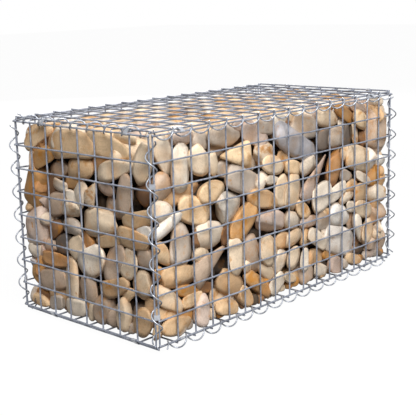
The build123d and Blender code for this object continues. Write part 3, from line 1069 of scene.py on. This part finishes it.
# %% River stone
# noise: its size in millimetres, detail, roughness and distortion
STONE_NOISES = {
    "cloud": (45, 4.0, 0.55, 0.0),
    "warmth": (60, 3.0, 0.5, 0.0),
    "grain": (3.5, 3.0, 0.7, 0.0),
    "stain": (28, 6.0, 0.65, 0.4),
    "vein": (30, 5.0, 0.6, 0.8),
    "crust": (9, 6.0, 0.7, 0.0),
}
BUMP_MM = 4.0
WARM_DRIFT = "EFCFA6"
VEIN_BROWN = "8A7358"
IRON_STAIN = "AE7426"


def river_stone():
    material, tree = new_material("water_worn_river_stone")
    tint = add_node(tree, "ShaderNodeAttribute", settings=[("attribute_name", "tint")])
    own = add_node(tree, "ShaderNodeAttribute", settings=[("attribute_name", "own")])
    look = add_node(tree, "ShaderNodeAttribute", settings=[("attribute_name", "look")])
    parts = add_node(tree, "ShaderNodeSeparateXYZ", links=[(0, look.outputs["Vector"])])
    rust_share = parts.outputs[0]
    rough_share = parts.outputs[1]

    noise = {}
    for noise_name, (size_mm, detail, roughness, distortion) in STONE_NOISES.items():
        noise[noise_name] = add_node(tree, "ShaderNodeTexNoise", links=[("Vector", own.outputs["Vector"])],
                                     Scale=1 / (size_mm * MM), Detail=detail, Roughness=roughness,
                                     Distortion=distortion).outputs["Fac"]

    cloud_range = add_node(tree, "ShaderNodeMapRange", links=[("Value", noise["cloud"])],
                           From_Min=0.3, From_Max=0.7, To_Min=0.80, To_Max=1.14)
    clouded = add_node(tree, "ShaderNodeVectorMath", settings=[("operation", "SCALE")],
                       links=[(0, tint.outputs["Color"]), ("Scale", cloud_range.outputs[0])])

    grain_range = add_node(tree, "ShaderNodeMapRange", links=[("Value", noise["grain"])],
                           From_Min=0.3, From_Max=0.7, To_Min=0.90, To_Max=1.08)
    grained = add_node(tree, "ShaderNodeVectorMath", settings=[("operation", "SCALE")],
                       links=[(0, clouded.outputs[0]), ("Scale", grain_range.outputs[0])])

    warm_share = add_node(tree, "ShaderNodeMapRange", links=[("Value", noise["warmth"])],
                          From_Min=0.5, From_Max=0.68, To_Min=0.0, To_Max=0.55)
    warmed = add_node(tree, "ShaderNodeMix", settings=[("data_type", "RGBA"), ("blend_type", "MULTIPLY")],
                      links=[("Factor", warm_share.outputs[0])])
    tree.links.new(grained.outputs[0], warmed.inputs[6])
    warmed.inputs[7].default_value = linear(WARM_DRIFT)

    vein_line = add_node(tree, "ShaderNodeMath", settings=[("operation", "SUBTRACT")],
                         links=[(0, noise["vein"])])
    vein_line.inputs[1].default_value = 0.5
    vein_far = add_node(tree, "ShaderNodeMath", settings=[("operation", "ABSOLUTE")],
                        links=[(0, vein_line.outputs[0])])
    vein = add_node(tree, "ShaderNodeMapRange", links=[("Value", vein_far.outputs[0])],
                    From_Min=0.0, From_Max=0.018, To_Min=0.22, To_Max=0.0)
    veined = add_node(tree, "ShaderNodeMix", settings=[("data_type", "RGBA"), ("blend_type", "MULTIPLY")],
                      links=[("Factor", vein.outputs[0])])
    tree.links.new(warmed.outputs[2], veined.inputs[6])
    veined.inputs[7].default_value = linear(VEIN_BROWN)

    stain_level = add_node(tree, "ShaderNodeMath", settings=[("operation", "MULTIPLY_ADD")],
                           links=[(0, rust_share), (2, noise["stain"])])
    stain_level.inputs[1].default_value = 0.13
    stain_mask = add_node(tree, "ShaderNodeMapRange", links=[("Value", stain_level.outputs[0])],
                          From_Min=0.60, From_Max=0.74, To_Min=0.0, To_Max=0.85)
    stained = add_node(tree, "ShaderNodeMix", settings=[("data_type", "RGBA")],
                       links=[("Factor", stain_mask.outputs[0])])
    tree.links.new(veined.outputs[2], stained.inputs[6])
    stained.inputs[7].default_value = linear(IRON_STAIN)

    rough_height = add_node(tree, "ShaderNodeMath", settings=[("operation", "MULTIPLY")],
                            links=[(0, noise["crust"]), (1, rough_share)])
    height = add_node(tree, "ShaderNodeMath", settings=[("operation", "MULTIPLY_ADD")],
                      links=[(0, noise["grain"]), (2, rough_height.outputs[0])])
    height.inputs[1].default_value = 0.08
    bump = add_node(tree, "ShaderNodeBump", links=[("Height", height.outputs[0])],
                    Strength=0.9, Distance=BUMP_MM * MM)
    sheen = add_node(tree, "ShaderNodeMapRange", links=[("Value", noise["cloud"])],
                     To_Min=0.62, To_Max=0.85)
    stone = add_node(tree, "ShaderNodeBsdfPrincipled", IOR=1.5,
                     links=[("Base Color", stained.outputs[2]), ("Roughness", sheen.outputs[0]),
                            ("Normal", bump.outputs[0])])
    add_node(tree, "ShaderNodeOutputMaterial", links=[("Surface", stone.outputs[0])])
    return material


river_stone_material = river_stone()
for seed, (pile_name, stones) in enumerate(piles.items()):
    shapes = coarse_pebbles if pile_name in ("heart", "base") else fine_pebbles
    pile = pile_mesh(f"{pile_name}_stones", stones, shapes, river_stone_material, seed)
    print(pile.name, "faces", len(pile.data.polygons))
